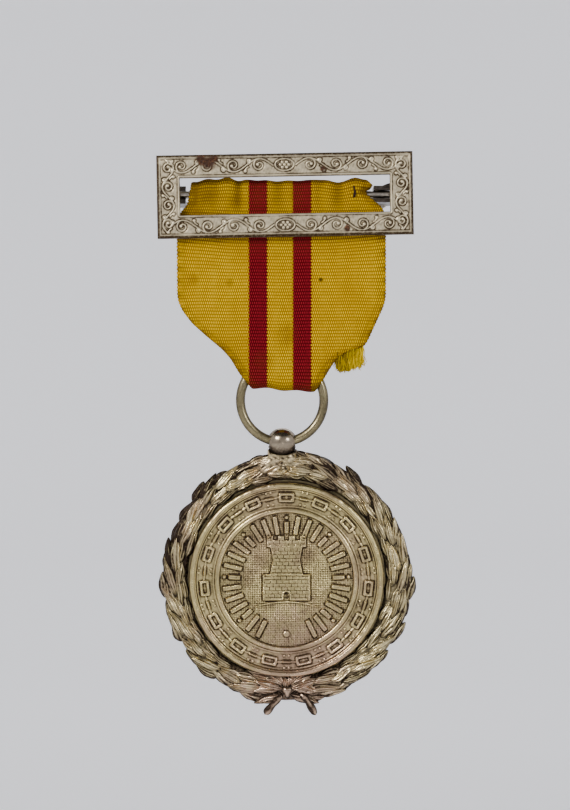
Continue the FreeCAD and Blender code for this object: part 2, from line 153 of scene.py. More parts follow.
class Build:
    """Collects patches of one mesh: points in millimetres, faces, and a value of dirt and painted shade for
    each point.
    """

    def __init__(self):
        self.points, self.faces, self.dirt, self.uv, self.count = [], [], [], [], 0

    def grid(self, p, dirt=0.0, around=False, along=False, uv=None, keep=None):
        """p is (rows, columns, 3). around joins the last column to the first, and along the last row."""
        n, m = p.shape[:2]
        i = np.arange(n if along else n - 1)[:, None]
        j = np.arange(m if around else m - 1)[None, :]
        i2, j2 = (i + 1) % n, (j + 1) % m
        quads = np.stack([i * m + j, i * m + j2, i2 * m + j2, i2 * m + j], -1)
        if keep is not None:
            quads = quads[keep]
        self.faces.append(quads.reshape(-1, 4) + self.count)
        self.points.append(p.reshape(-1, 3))
        self.dirt.append(np.broadcast_to(dirt, (n, m)).ravel().astype(float))
        self.uv.append(np.zeros((n * m, 2)) if uv is None else uv.reshape(-1, 2))
        self.count += n * m

    def tube(self, line, radius, sides=8, dirt=0.0, closed=False):
        """A round tube along a line of points. radius is a number or one for each point."""
        line = np.asarray(line, float)
        if closed:
            t = np.roll(line, -1, 0) - np.roll(line, 1, 0)
        else:
            t = np.gradient(line, axis=0)
        t /= np.linalg.norm(t, axis=1, keepdims=True) + 1e-12
        ref = (0.0, 1.0, 0.0) if abs(t[:, 1]).mean() < 0.7 else (1.0, 0.0, 0.0)
        u = np.cross(t, ref)
        u /= np.linalg.norm(u, axis=1, keepdims=True) + 1e-12
        v = np.cross(t, u)
        a = circle(sides)
        r = np.broadcast_to(radius, len(line))[:, None, None]
        ring = u[:, None] * np.cos(a)[None, :, None] + v[:, None] * np.sin(a)[None, :, None]
        self.grid(line[:, None] + r * ring, dirt, around=True, along=closed)

    def wall(self, rim, y, rows, dirt, around=False):
        """Runs from a row of points straight back to the depth y. Returns the points that it ends on."""
        low = rim.copy()
        low[:, 1] = y
        steps = ramp(rows)[:, None, None]
        self.grid(rim[None] * (1 - steps) + low[None] * steps, dirt, around=around)
        return low

    def make(self, name, body, slot, material, replaces=()):
        """Makes the object, gives it its body and hides the CAD nodes it stands for. slot is not used."""
        places = np.concatenate(self.points) * MM
        quads = np.concatenate(self.faces)
        me = bpy.data.meshes.new(name)
        me.vertices.add(len(places))
        me.vertices.foreach_set("co", places.ravel())
        me.loops.add(quads.size)
        me.loops.foreach_set("vertex_index", quads.ravel().astype(np.int32))
        me.polygons.add(len(quads))
        me.polygons.foreach_set("loop_start", np.arange(0, quads.size, 4, dtype=np.int32))
        me.update(calc_edges=True)
        # each point's value of dirt and painted shade, which the materials darken by
        me.attributes.new("dirt", "FLOAT", "POINT").data.foreach_set(
            "value", np.concatenate(self.dirt).astype(np.float32))
        layer = me.uv_layers.new(name="UVMap")
        layer.data.foreach_set("uv", np.concatenate(self.uv)[quads.ravel()].ravel().astype(np.float32))
        me.polygons.foreach_set("use_smooth", np.full(len(quads), True))
        me.validate()
        obj = bpy.data.objects.new(name, me)
        bpy.context.scene.collection.objects.link(obj)
        me.materials.append(material)
        if body:
            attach(obj, body)
        if replaces:
            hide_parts(*replaces)
        return obj


# ---- materials


class Nodes:
    """A short way to write a node tree."""

    def __init__(self, name):
        self.mat = bpy.data.materials.new(name)
        self.mat.use_nodes = True
        self.tree = self.mat.node_tree
        self.bsdf = self.tree.nodes["Principled BSDF"]

    def new(self, kind, **inputs):
        return self.fill(self.tree.nodes.new("ShaderNode" + kind), inputs)

    def fill(self, node, inputs):
        """Sets or links a node's inputs. Their names are written with _ for a space."""
        for name, value in inputs.items():
            self.put(node.inputs[name.replace("_", " ")], value)
        return node

    def put(self, socket, value):
        if isinstance(value, bpy.types.NodeSocket):
            self.tree.links.new(value, socket)
        else:
            socket.default_value = value

    def shader(self, **inputs):
        self.fill(self.bsdf, inputs)

    def math(self, kind, a, b=0.0):
        n = self.new("Math")
        n.operation = kind
        for socket, value in zip(n.inputs, (a, b)):
            self.put(socket, value)
        return n.outputs[0]

    def smooth(self, value, a, b, lo=0.0, hi=1.0):
        n = self.new("MapRange")
        n.interpolation_type = "SMOOTHSTEP"
        for socket, v in zip(n.inputs[:5], (value, a, b, lo, hi)):
            self.put(socket, v)
        return n.outputs[0]

    def mix(self, amount, a, b):
        n = self.new("Mix")
        n.data_type = "RGBA"
        self.put(n.inputs["Factor"], amount)
        for key, value in (("A", a), ("B", b)):
            socket = [s for s in n.inputs if s.name == key and s.type == "RGBA"][0]
            self.put(socket, value if isinstance(value, bpy.types.NodeSocket) else (*value, 1.0))
        return [s for s in n.outputs if s.type == "RGBA"][0]

    def attribute(self, name):
        n = self.new("Attribute")
        n.attribute_name = name
        return n.outputs["Fac"]

    def object_point(self):
        n = self.new("TexCoord")
        return n.outputs["Object"]

    def uv(self):
        n = self.new("TexCoord")
        s = self.new("SeparateXYZ")
        self.put(s.inputs[0], n.outputs["UV"])
        return s.outputs[0], s.outputs[1]

    def noise(self, size_mm, detail=2.0, rough=0.5):
        n = self.new("TexNoise", Vector=self.object_point(), Scale=1 / (size_mm * MM), Detail=detail,
                     Roughness=rough)
        return n.outputs["Fac"]

    def bump(self, height, strength, distance_mm):
        return self.new("Bump", Height=height, Strength=strength, Distance=distance_mm * MM).outputs["Normal"]

    def near(self, point, radius, soft):
        """1 near a point given in millimetres, falling to 0, with a ragged edge."""
        n = self.new("VectorMath")
        n.operation = "DISTANCE"
        self.put(n.inputs[0], self.object_point())
        n.inputs[1].default_value = tuple(c * MM for c in point)
        ragged = self.math("ADD", n.outputs["Value"], self.math(
            "MULTIPLY", self.math("SUBTRACT", self.noise(0.9, 3), 0.5), soft * 2.2 * MM))
        return self.smooth(ragged, (radius - soft) * MM, (radius + soft) * MM, 1.0, 0.0)


def metal(name, light, dark, rough, dirt=1.0, mottle=0.35, mottle_mm=3.0, spots=(), spot=(0.2, 0.08, 0.03),
          grain=0.3, warm=None, blush=None):
    """Worn metal: bright where it is rubbed, tarnished in the recesses and in patches, and dark where a piece
    paints shade into its points.
    """
    n = Nodes(name)
    patches = n.smooth(n.noise(mottle_mm, 4, 0.6), 0.42, 0.72)
    fine = n.noise(0.35, 3, 0.6)
    # each point's dirt and painted shade darkens the metal
    amount = n.math("MULTIPLY", n.attribute("dirt"), dirt)
    amount = n.math("ADD", amount, n.math("MULTIPLY", patches, mottle))
    amount = n.math("MULTIPLY", amount, n.smooth(fine, 0.2, 0.75, 0.7, 1.2))
    amount = n.math("POWER", n.math("MINIMUM", n.math("MAXIMUM", amount, 0.0), 1.0), 0.8)
    if warm:
        tint = n.smooth(n.noise(6.0, 3, 0.5), 0.40, 0.66, 0.0, 0.55)
        if blush:
            tint = n.math("MAXIMUM", tint, n.near(*blush, blush[1] * 0.7))
        light = n.mix(n.math("MULTIPLY", tint, 0.75), light, warm)
    colour = n.mix(amount, light, dark)
    metallic = n.smooth(amount, 0.45, 1.0, 1.0, 0.55)
    for place, radius in spots:
        here = n.near(place, radius, radius * 0.45)
        colour = n.mix(here, colour, n.mix(n.smooth(fine, 0.50, 0.72), spot, tuple(4 * c for c in spot)))
        metallic = n.math("MULTIPLY", metallic, n.math("SUBTRACT", 1.0, here))
    n.shader(Base_Color=colour, Metallic=metallic,
             Roughness=n.math("ADD", rough, n.math("MULTIPLY", amount, 0.28)),
             Normal=n.bump(fine, grain, 0.03),
             Specular_IOR_Level=0.25)
    return n.mat


silver_plate = metal("silver plate", (0.92, 0.79, 0.53), (0.050, 0.030, 0.013), 0.36, mottle=0.12,
                     mottle_mm=5.0, spot=(0.040, 0.015, 0.005),
                     spots=(((-12.2, BUCKLE_FACE, 4.75), 0.75), ((-11.0, BUCKLE_FACE, 4.35), 0.95),
                            ((-10.2, BUCKLE_FACE, 4.85), 0.55), ((5.5, BUCKLE_FACE, 3.5), 0.42),
                            ((9.0, BUCKLE_FACE, -5.2), 0.5)))
medal_silver = metal("medal silver", (0.77, 0.63, 0.29), (0.034, 0.019, 0.008), 0.22, dirt=1.05, mottle=0.26,
                     warm=(0.60, 0.38, 0.29), blush=((3.0, BAR_Y, -71.0), 9.0))
back_silver = metal("back silver", (0.60, 0.49, 0.26), (0.034, 0.019, 0.008), 0.27, mottle=0.10,
                    mottle_mm=5.0)
leaf_silver = metal("leaf silver", (0.96, 0.80, 0.43), (0.026, 0.014, 0.007), 0.17, dirt=1.05, mottle=0.34,
                    warm=(0.66, 0.42, 0.34), blush=((0.0, BAR_Y, -74.0), 8.0))
nickel = metal("nickel silver", (0.44, 0.37, 0.20), (0.05, 0.038, 0.020), 0.15, mottle=0.22, mottle_mm=2.5,
               grain=0.08)
ball_nickel = metal("ball nickel", (0.50, 0.41, 0.29), (0.05, 0.034, 0.022), 0.13, mottle=0.34, mottle_mm=1.5,
                    grain=0.08)
steel = metal("old steel", (0.40, 0.36, 0.30), (0.030, 0.020, 0.013), 0.30, mottle=0.6, mottle_mm=1.2)
# painted shade: a darker copy of the steel for the hinge, its front leaf and the catch, which sit in shade
dark_steel = metal("dark steel", (0.10, 0.082, 0.065), (0.016, 0.011, 0.008), 0.30, mottle=0.5, mottle_mm=1.0)


def ribbon_cloth():
    """Ribbed yellow ribbon with two red stripes. UVs are millimetres: U across the ribbon, V along it."""
    n = Nodes("ribbon")
    u, v = n.uv()
    crest = n.math("DIVIDE", n.math("PINGPONG", v, PITCH / 2), PITCH / 2)  # 0 in the groove, 1 on the rib
    row = n.math("FLOOR", n.math("DIVIDE", v, PITCH))
    shifted = n.math("ADD", u, n.math("MULTIPLY", row, HALF_YARN))  # staggered from rib to rib
    yarn = n.math("DIVIDE", n.math("PINGPONG", shifted, HALF_YARN), HALF_YARN)
    # painted shade in the grooves between the ribs and between the yarns, lighter on their tops
    shade = n.math("MULTIPLY", n.smooth(crest, 0.05, 0.65, 0.15, 1.0), n.smooth(yarn, 0.15, 0.75, 0.0, 1.0))
    patch = n.noise(7.0, 3, 0.55)
    streak = n.noise(1.2, 2, 0.5)
    yellow = n.mix(n.smooth(patch, 0.3, 0.75), (0.94, 0.60, 0.0), (0.78, 0.46, 0.0))
    yellow = n.mix(n.smooth(streak, 0.3, 0.7, 0.0, 0.35), yellow, (0.58, 0.32, 0.0))
    yellow = n.mix(shade, (0.24, 0.118, 0.0), yellow)
    red = n.mix(shade, (0.055, 0.001, 0.002), (0.28, 0.012, 0.021))
    jag = n.math("ADD", u, n.math("MULTIPLY", crest, 0.24))
    stripe = None
    for a, b in ((-4.80, -2.10), (1.60, 4.30)):
        here = n.math("MULTIPLY", n.smooth(jag, a, a + 0.1), n.smooth(jag, b, b + 0.1, 1.0, 0.0))
        stripe = here if stripe is None else n.math("MAXIMUM", stripe, here)
    colour = n.mix(stripe, yellow, red)
    stains = n.near((-10.9, BAR_Y - 1.4, -0.2), 1.3, 1.3)
    for place, radius in (((-7.2, BAR_Y - 1.4, -1.3), 0.8), ((-13.3, BAR_Y - 1.4, -12.4), 0.8),
                          ((-3.2, BAR_Y - 1.5, -24.3), 1.3), ((0.2, BAR_Y - 1.5, -20.5), 1.4),
                          ((-8.0, BAR_Y - 1.4, -12.9), 0.5),
                          ((12.4, BAR_Y - 1.4, -0.4), 0.8), ((-13.2, BAR_Y - 1.4, -3.0), 1.4)):
        stains = n.math("MAXIMUM", stains, n.near(place, radius, radius * 0.8))
    dulled = n.smooth(stripe, 0.0, 1.0, 1.0, 0.25)
    stains = n.math("MULTIPLY", stains, dulled)
    colour = n.mix(n.math("MULTIPLY", stains, 0.40), colour, (0.14, 0.055, 0.004))
    # painted shade for the hole where the wire comes out of the cloth, and a small dark dot lower down
    dark_spots = n.near((11.6, BAR_Y - 1.2, 0.35), 0.75, 0.5)
    dark_spots = n.math("MAXIMUM", dark_spots, n.near((5.2, BAR_Y - 1.45, -12.5), 0.34, 0.10))
    colour = n.mix(n.math("MULTIPLY", dark_spots, 0.85), colour, (0.035, 0.015, 0.002))
    # the points' dirt and painted shade, weaker on the red stripes
    grime_and_shade = n.math("MULTIPLY", n.attribute("dirt"), dulled)
    colour = n.mix(n.math("MULTIPLY", grime_and_shade, 0.85), colour, (0.12, 0.06, 0.002))
    height = n.math("ADD", n.math("MULTIPLY", n.smooth(crest, 0.0, 0.9), 0.5), n.math("MULTIPLY", yarn, 0.5))
    n.shader(Base_Color=colour, Roughness=0.85, Normal=n.bump(height, 0.9, 0.14),
             Specular_IOR_Level=0.02)
    return n.mat


def plain_cloth(name, colour, dark):
    n = Nodes(name)
    tone = n.mix(n.noise(0.5, 3), dark, colour)
    n.shader(Base_Color=n.mix(n.attribute("dirt"), tone, (0.15, 0.085, 0.0)), Roughness=0.85,
             Specular_IOR_Level=0.04)
    return n.mat


cloth = ribbon_cloth()
yarn_yellow = plain_cloth("loose yarn", (0.84, 0.60, 0.0), (0.50, 0.33, 0.0))
dark_thread = plain_cloth("dark thread", (0.05, 0.03, 0.02), (0.02, 0.012, 0.008))
seam_thread = plain_cloth("seam thread", (0.72, 0.42, 0.01), (0.45, 0.24, 0.01))


# ---- buckle


def spiral(cx, cz, r, start, turns, sense):
    """A curl that winds inwards and ends in a bud."""
    t = ramp(46)
    a = start + sense * turns * 2 * PI * t
    rad = r * (1 - 0.74 * t ** 0.9)
    return points(cx + rad * np.cos(a), cz + rad * np.sin(a))


def vine(first, pitch, count, reach, side):
    """A waving stem with curls in its bends and shoots with buds: lines as (s, t), s along the band."""
    lines, buds = [], []
    s = np.linspace(first - pitch * 0.52, first + pitch * (count - 0.52), 60 * count)
    lines.append(points(s, side * reach * 0.92 * np.cos(PI * (s - first) / pitch)))
    q = ramp(14)[:, None]
    for k in range(count):
        up = side * (1 if k % 2 == 0 else -1)
        cx = first + k * pitch
        for curl in (spiral(cx + 0.05, 0.0, reach * 0.93, up * PI / 2, 1.2, -up),
                     spiral(cx + pitch * 0.38, up * reach * 0.62, reach * 0.37, -up * PI / 2, 0.85, up)):
            lines.append(curl)
            buds.append(curl[-1])
        root = np.array([cx + pitch * 0.44, -0.25 * up * reach])
        tip = np.array([cx + pitch * 0.56, -0.85 * up * reach])
        mid = (tip + root) / 2 + np.array([0.25, 0.0])
        lines.append((1 - q) ** 2 * root + 2 * q * (1 - q) * mid + q ** 2 * tip)
        buds.append(tip)
    return lines, buds


def ornament():
    """All the curves and buds of the four bands, in the buckle's own plane about its centre."""
    lines, buds = [], []
    mid_z, mid_x = (BUCKLE_H + WINDOW_H) / 4, (BUCKLE_W + WINDOW_W) / 4
    for side in (1, -1):
        for mirror in (1, -1):
            ls, bs = vine(3.6, 3.75, 4, 1.0, side)
            lines += [l * (mirror, 1) + (0, side * mid_z) for l in ls]
            buds += [b * (mirror, 1) + (0, side * mid_z) for b in bs]
        a = np.linspace(0, 2 * PI, 60)
        lines.append(points(1.35 * np.cos(a), side * mid_z + 0.85 * np.sin(a)))
        for k in range(6):
            a = k * PI / 3
            buds.append(np.array([0.62 * math.cos(a), side * mid_z + 0.42 * math.sin(a)]))
        buds.append(np.array([0.0, side * mid_z]))
    for mirror in (1, -1):
        ls, bs = vine(-4.05, 2.70, 4, 0.90, mirror)
        lines += [l[:, ::-1] + (mirror * mid_x, 0) for l in ls]
        buds += [b[::-1] + (mirror * mid_x, 0) for b in bs]
    return lines, buds


def nearest(x, z, lines, reach=0.6):
    """Distance from each grid point to the nearest point of any curve, up to reach."""
    best = np.full(x.shape, reach)
    xs, zs = x[0], z[:, 0]
    for line in lines:
        d = np.hypot(*np.diff(line, axis=0).T)
        gone = np.r_[0, np.cumsum(d)]
        at = np.linspace(0, d.sum(), int(d.sum() / 0.05) + 2)
        for px, pz in zip(np.interp(at, gone, line[:, 0]), np.interp(at, gone, line[:, 1])):
            i0, i1 = np.searchsorted(zs, [pz - reach, pz + reach])
            j0, j1 = np.searchsorted(xs, [px - reach, px + reach])
            if i1 > i0 and j1 > j0:
                part = best[i0:i1, j0:j1]
                np.minimum(part, np.hypot(x[i0:i1, j0:j1] - px, z[i0:i1, j0:j1] - pz), out=part)
    return best


def buckle_relief(x, z, hw, hh, ww, wh):
    """The engraving's height, and its dirt and painted shadow, for a plate and a window of these half sizes.
    """
    line_half, bud_r = 0.075, 0.21
    lines, buds = ornament()
    d = nearest(x, z, lines)
    db = nearest(x, z, [np.stack([b, b + 0.001]) for b in buds])
    outer = np.minimum(hw - np.abs(x), hh - np.abs(z))
    inner = box_dist(x, z, ww, wh)
    ground = np.minimum(step(0.62, 0.70, outer), step(0.32, 0.42, inner))
    rib = top_of(d - line_half, 0.05)
    bud = dome(db, bud_r)
    shape = np.minimum(d - line_half, db - bud_r)  # distance outside the raised work
    shadow = hill(shape, 0.10, 0.10) * ground
    h = (0.11 * np.maximum(rib, 1.2 * bud) - 0.06 * shadow) * ground
    h += 0.09 * (1 - ground) - 0.07 * hill(outer, 0.62, 0.08)
    h -= 0.06 * hill(inner, 0.36, 0.07)
    h -= 0.36 * step(0.26, 0.0, outer) + 0.12 * step(0.16, 0.0, inner)
    h += 0.016 * wobble(x, z, 3.0, 3) + 0.008 * wobble(x, z, 0.7, 4)
    line = np.maximum(hill(outer, 0.62, 0.10), 0.9 * hill(inner, 0.36, 0.08))
    worn = 0.75 + 0.35 * wobble(x, z, 4.0, 5)
    speckle = 0.5 + 0.5 * wobble(x, z, 0.45, 8)
    flat = ground * (1 - np.maximum(rib, bud))
    dirt = unit(worn * (1.15 * shadow + line + 0.30 * (1 - ground)) + 1.1 * step(0.52, 0.20, outer)
                + 0.75 * step(0.14, 0.0, inner)
                + (0.22 + 0.20 * speckle + 0.12 * wobble(x, z, 1.6, 6)) * flat)
    return h, dirt


def buckle():
    """The plate: an engraved face with a window, its walls and a plain back."""
    hw, hh, ww, wh = BUCKLE_W / 2, BUCKLE_H / 2, WINDOW_W / 2, WINDOW_H / 2
    cell = 0.075

    def axis(outer, inner):
        side = np.linspace(-outer, -inner, int((outer - inner) / cell) + 1)
        mid = np.linspace(-inner, inner, int(2 * inner / cell) + 1)[1:-1]
        return np.r_[side, mid, -side[::-1]]
    xs, zs = axis(hw, ww), axis(hh, wh)
    x, z = np.meshgrid(xs, zs)
    h, dirt = buckle_relief(x, z, hw, hh, ww, wh)
    b = Build()
    ca, sa = math.cos(BUCKLE_TILT), math.sin(BUCKLE_TILT)

    def placed(px, y, pz):
        return points(px * ca - pz * sa, y, pz * ca + px * sa + BUCKLE_Z)
    p = placed(x, BUCKLE_FACE - h, z)
    cx, cz = (x[:-1, :-1] + x[1:, 1:]) / 2, (z[:-1, :-1] + z[1:, 1:]) / 2
    b.grid(p, dirt, keep=(np.abs(cx) > ww) | (np.abs(cz) > wh))
    hair = 1e-6  # so that the search lands on the window's own rows and columns
    i0, i1 = np.searchsorted(zs, [-wh - hair, wh - hair])
    j0, j1 = np.searchsorted(xs, [-ww - hair, ww - hair])
    window = p[i0:i1 + 1, j0:j1 + 1]
    for rim in (p[0], p[-1, ::-1], p[::-1, 0], p[:, -1]):
        b.wall(rim, BUCKLE_BACK, 5, 0.75)
    for rim in (window[0, ::-1], window[-1], window[:, 0], window[::-1, -1]):
        b.wall(rim, BUCKLE_BACK, 5, 0.6)
    for x0, x1, z0, z1 in ((-hw, hw, wh, hh), (-hw, hw, -hh, -wh), (-hw, -ww, -wh, wh), (ww, hw, -wh, wh)):
        gx, gz = np.meshgrid(np.linspace(x0, x1, 40), np.linspace(z0, z1, 8))
        b.grid(placed(gx, BUCKLE_BACK, gz)[:, ::-1], 0.42 + 0.06 * wobble(gx, gz, 6, 9))
    b.make("buckle", "brooch", "silver_plate", silver_plate, ["buckle_frame"])


# ---- ribbon


def outline(z, right):
    """How far the ribbon reaches to one side at a height z."""
    if right:
        zs = [-28.6, -28.2, -27.25, -25.9, -24.6, -23.1, -22.75, -22.3, -21.0, -19.5, -18.0, -16.5, -15.4,
              -14.6, -6.4, -5.2, -4.0, -2.3, -1.6, -0.9, -0.4, 0.0, 0.33, 0.7, 1.1, 1.5, 1.9]
        ws = [4.55, 5.0, 5.7, 6.45, 7.3, 8.9, 10.2, 11.7, 12.45, 13.1, 13.8, 14.5, 14.82,
              14.9, 14.9, 14.9, 14.8, 14.5, 14.0, 13.2, 12.4, 12.0, 11.9, 12.3, 13.0, 13.1, 12.3]
    else:
        zs = [-28.6, -28.1, -27.3, -25.8, -23.9, -22.55, -20.7, -18.8, -16.9, -15.6, -14.6, -8.0, -5.8,
              -4.6, -3.2, -2.5, -1.6, -0.3, 1.2, 1.9]
        ws = [4.3, 4.75, 5.3, 6.3, 7.4, 8.6, 10.9, 13.0, 14.4, 15.0, 15.15, 15.2, 15.15, 14.9, 14.75,
              14.4, 13.7, 13.45, 13.2, 13.1]
    return np.interp(z, zs, ws)


MID_Y, LOW_Y = 1.30, 1.52  # how far the cloth's outside lies from the middle, at the bar and at the ring
TOP_Z, LOW_Z = 0.78, -26.98  # the middles of its two turns


def ribbon_path(step_mm=0.078):
    """The closed path down the front, through the ring, up the back and over the bar: y, z, length so far
    and the whole length."""
    z = np.arange(TOP_Z, LOW_Z, -0.05)
    half = MID_Y + (LOW_Y - MID_Y) * step(-12.0, -24.0, z)
    a = np.arange(0, PI, 0.02)
    low = points(-LOW_Y * np.cos(a), LOW_Z - LOW_Y * np.sin(a))
    front = points(-half, z)
    back = points(half, z)[::-1]
    top = points(MID_Y * np.cos(a), TOP_Z + MID_Y * np.sin(a))
    line = np.concatenate([front, low, back, top])
    d = np.r_[0, np.cumsum(np.hypot(*np.diff(line, axis=0).T))]
    total = d[-1] + math.hypot(*(line[0] - line[-1]))
    line = np.vstack([line, line[:1]])
    d = np.r_[d, total]
    count = int(round(total / step_mm))
    s = np.arange(count) * total / count
    return np.interp(s, d, line[:, 0]), np.interp(s, d, line[:, 1]), s, total


def ribbon_reach(y, z, crest):
    """How far the cloth reaches to the left and to the right at each point of its path."""
    behind = step(-0.2, 0.6, y) * step(-6.8, -4.9, z)  # gathered in here, clear of the fittings
    reach = 11  # samples to each side that the outline is softened over
    k = np.exp(-np.linspace(-2, 2, 2 * reach + 1) ** 2)
    k /= k.sum()

    def edge(right_side, gathered):
        w = outline(z, right_side)
        w = np.convolve(np.r_[w[-reach:], w, w[:reach]], k, "valid") - 0.09 + 0.17 * crest
        return w - np.maximum(w - gathered, 0) * behind
    return edge(False, 13.60), edge(True, 12.9)


def ribbon_section(left, right):
    """Across the cloth: x, and how far off its surface, with rolled edges and flaps turned in behind."""
    c = np.linspace(-1, 1, 86)
    c = np.sign(c) * (1 - (1 - np.abs(c)) ** 1.06)
    wrap = 0.36  # radius of the rolled edge
    left, right = left[:, None] - wrap * 0.6, right[:, None] - wrap * 0.6
    x = np.where(c < 0, c * left, c * right)
    a = np.linspace(0, PI, 6)[1:]
    flap = np.array([0.5, 1.1, 1.8, 2.6])
    edge_x = np.r_[wrap * np.sin(a), -flap]
    edge_off = np.r_[-wrap * (1 - np.cos(a)), np.full(4, -2 * wrap)]
    x = np.concatenate([-(left + edge_x)[:, ::-1], x, right + edge_x], 1)
    off = np.r_[edge_off[::-1], np.zeros(len(c)), edge_off]
    return x, off


def ribbon():
    """The ribbon as one closed folded strip, with its ribs, pleats, grime and painted shade."""
    y, z, s, total = ribbon_path()
    ty, tz = np.roll(y, -1) - np.roll(y, 1), np.roll(z, -1) - np.roll(z, 1)
    ln = np.hypot(ty, tz)
    ny, nz = tz / ln, -ty / ln  # outwards
    pitch = total / round(total / PITCH)
    crest = np.abs(np.sin(PI * s / pitch))
    left, right = ribbon_reach(y, z, crest)
    x, off = ribbon_section(left, right)
    weave = 0.05 * (crest[:, None] ** 0.7 - 0.6) * np.where(off > -0.6, 1, 0)
    front = (y < 0)[:, None]
    zz = z[:, None]

    def bump(centre, width):
        return hill(x, centre, width)
    soft = 0.16 * hill(zz, -21.5, 3.0) * np.cos((x + 0.4) * 0.9) * bump(0, 4.5)
    soft = soft + 0.24 * hill(zz, -18.5, 4.5) * (bump(-9.0, 2.8) + bump(9.5, 2.8))
    soft = soft + 0.07 * wobble(x, zz, 7.0, 11) * step(-27.0, -23.0, zz)
    upper = step(-3.4, -0.4, zz)
    pleat = 0.9 * bump(-7.9, 0.9) - 0.8 * bump(-6.4, 0.7) + 0.5 * bump(-10.6, 1.0) - 0.5 * bump(7.6, 1.2) \
        + 0.9 * bump(10.7, 0.9) - 0.35 * bump(0.0, 2.0) + 0.3 * np.sin(x * 2.1)
    soft = (soft + 0.22 * pleat * upper) * np.where(off > -0.1, 1, 0.5)
    lift = weave + np.where(front, soft, 0.8 * soft) + off
    risen = 0.0065 * np.maximum(np.abs(x) - 4, 0) ** 2  # under the buckle the ribs rise towards the edges
    dz = 0.05 * wobble(x, zz * 0.2, 9.0, 21) + risen * step(-14.0, -7.0, zz) * step(-1.0, -5.0, zz)
    dz = dz - 0.22 * step(-26.0, -28.4, zz) * (np.sin(x * 0.45) + 0.5 * np.cos(x * 1.5))
    crown = 0.16 * bump(-7.6, 1.5) + 0.26 * bump(10.8, 1.2) + 0.12 * bump(5.0, 0.9) \
        - 0.16 * bump(-12.6, 1.0) - 0.2 * bump(8.0, 1.3)
    dz = dz + crown * step(-2.6, 1.0, zz)
    py = BAR_Y + y[:, None] + ny[:, None] * lift
    ends = np.maximum(step(0.5, 0.9, zz), step(-27.0, -28.0, zz))
    pz = zz + nz[:, None] * lift + dz * np.maximum(np.abs(ny[:, None]), ends)
    pts = points(x + RIBBON_X, py, pz)
    inside = np.minimum(x + left[:, None], right[:, None] - x)  # how far in from the edge
    side = np.maximum(inside, 0)
    # darker along the edges, in dashes, and along a line just inside them; painted shade at the bottom turn
    # by the ring
    dash = 0.55 + 0.45 * np.sin(PI * s / pitch * 0.5 + 0.6 * np.sin(s))[:, None]
    dirt = np.exp(-side / 0.42) * dash + 0.30 * hill(inside, 0.95, 0.18) + 0.55 * step(-26.8, -28.6, zz)
    # painted shade along the lower edges, where the cloth curves back
    dirt = dirt + 0.60 * step(-16.0, -24.0, zz) * np.exp(-side / 1.5)
    # in the window: darker overall and more at the left, with painted shade in the hollows of the pleats
    dirt = dirt + upper * (0.10 + 0.7 * unit(-pleat) + 0.42 * bump(-11.6, 2.2))
    # painted shadow just under the buckle, stronger in the grooves
    under = 0.55 * step(-10.5, -6.5, zz) * (1 - 0.75 * crest[:, None])
    # on the front: the painted shadow under the buckle, and painted shade behind its lower band
    dirt = dirt + front * (under + 0.45 * step(-5.5, -2.6, zz) * step(-2.2, -3.4, zz))
    b = Build()
    b.grid(pts, unit(dirt), along=True, uv=points(x, s[:, None] / pitch * PITCH))
    obj = b.make("ribbon_strip", None, "ribbon", cloth, ["ribbon_drape", "ribbon_loop"])
    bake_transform(obj)


def frayed():
    """The ribbon's cut end: a short tongue of cloth and the yarns that have come loose from it."""
    b = Build()
    uu, ww = np.meshgrid(ramp(26), ramp(24))
    x = 7.6 + 3.7 * uu + 0.12 * ww
    z = -20.8 - (3.0 - 0.7 * uu) * ww
    y = BAR_Y - 0.70 + 0.12 * np.sin(uu * 5 + ww * 3)
    # painted shade: the tongue dark along its top and left, where it comes out from under the ribbon, lighter
    # towards its lower right
    b.grid(points(x, y, z), 0.95 - 0.6 * uu * ww, uv=points(x, z))
    b.make("frayed_tongue", "ribbon", "ribbon", cloth, ["frayed_end"])
    b = Build()
    q = ramp(9)
    yarns = 620
    for k in range(yarns):
        t = rng.uniform(0, 1)
        z0 = -22.0 - rng.uniform(0, 2.0) + 0.6 * t
        z1 = -25.85 + 0.9 * t + rng.normal(0, 0.20) + 0.55 * (2 * t - 1) ** 4
        lean, bend, bulge = rng.normal(0.0, 0.16), rng.normal(0, 0.22), rng.normal(0.25, 0.25)
        x = 7.55 + 3.75 * t + lean * q + bend * q ** 2 + 0.07 * np.sin(q * 8 + k * 1.7)
        y = BAR_Y - 0.75 + rng.uniform(-0.35, 0.2) - bulge * np.sin(PI * q) + 0.1 * np.sin(q * 7 + k)
        line = points(x, y, z0 + (z1 - z0) * q)
        # painted shade: the yarns darker to the left and near their roots by the ribbon's edge, with random
        # variation
        dark = 0.68 - 1.25 * t + 0.5 * (z0 > -22.6) + rng.normal(0, 0.18)
        b.tube(line, rng.uniform(0.045, 0.085) * (1 - 0.3 * q), 5, min(max(dark, 0), 1))
    b.make("frayed_yarns", "ribbon", "ribbon", yarn_yellow)


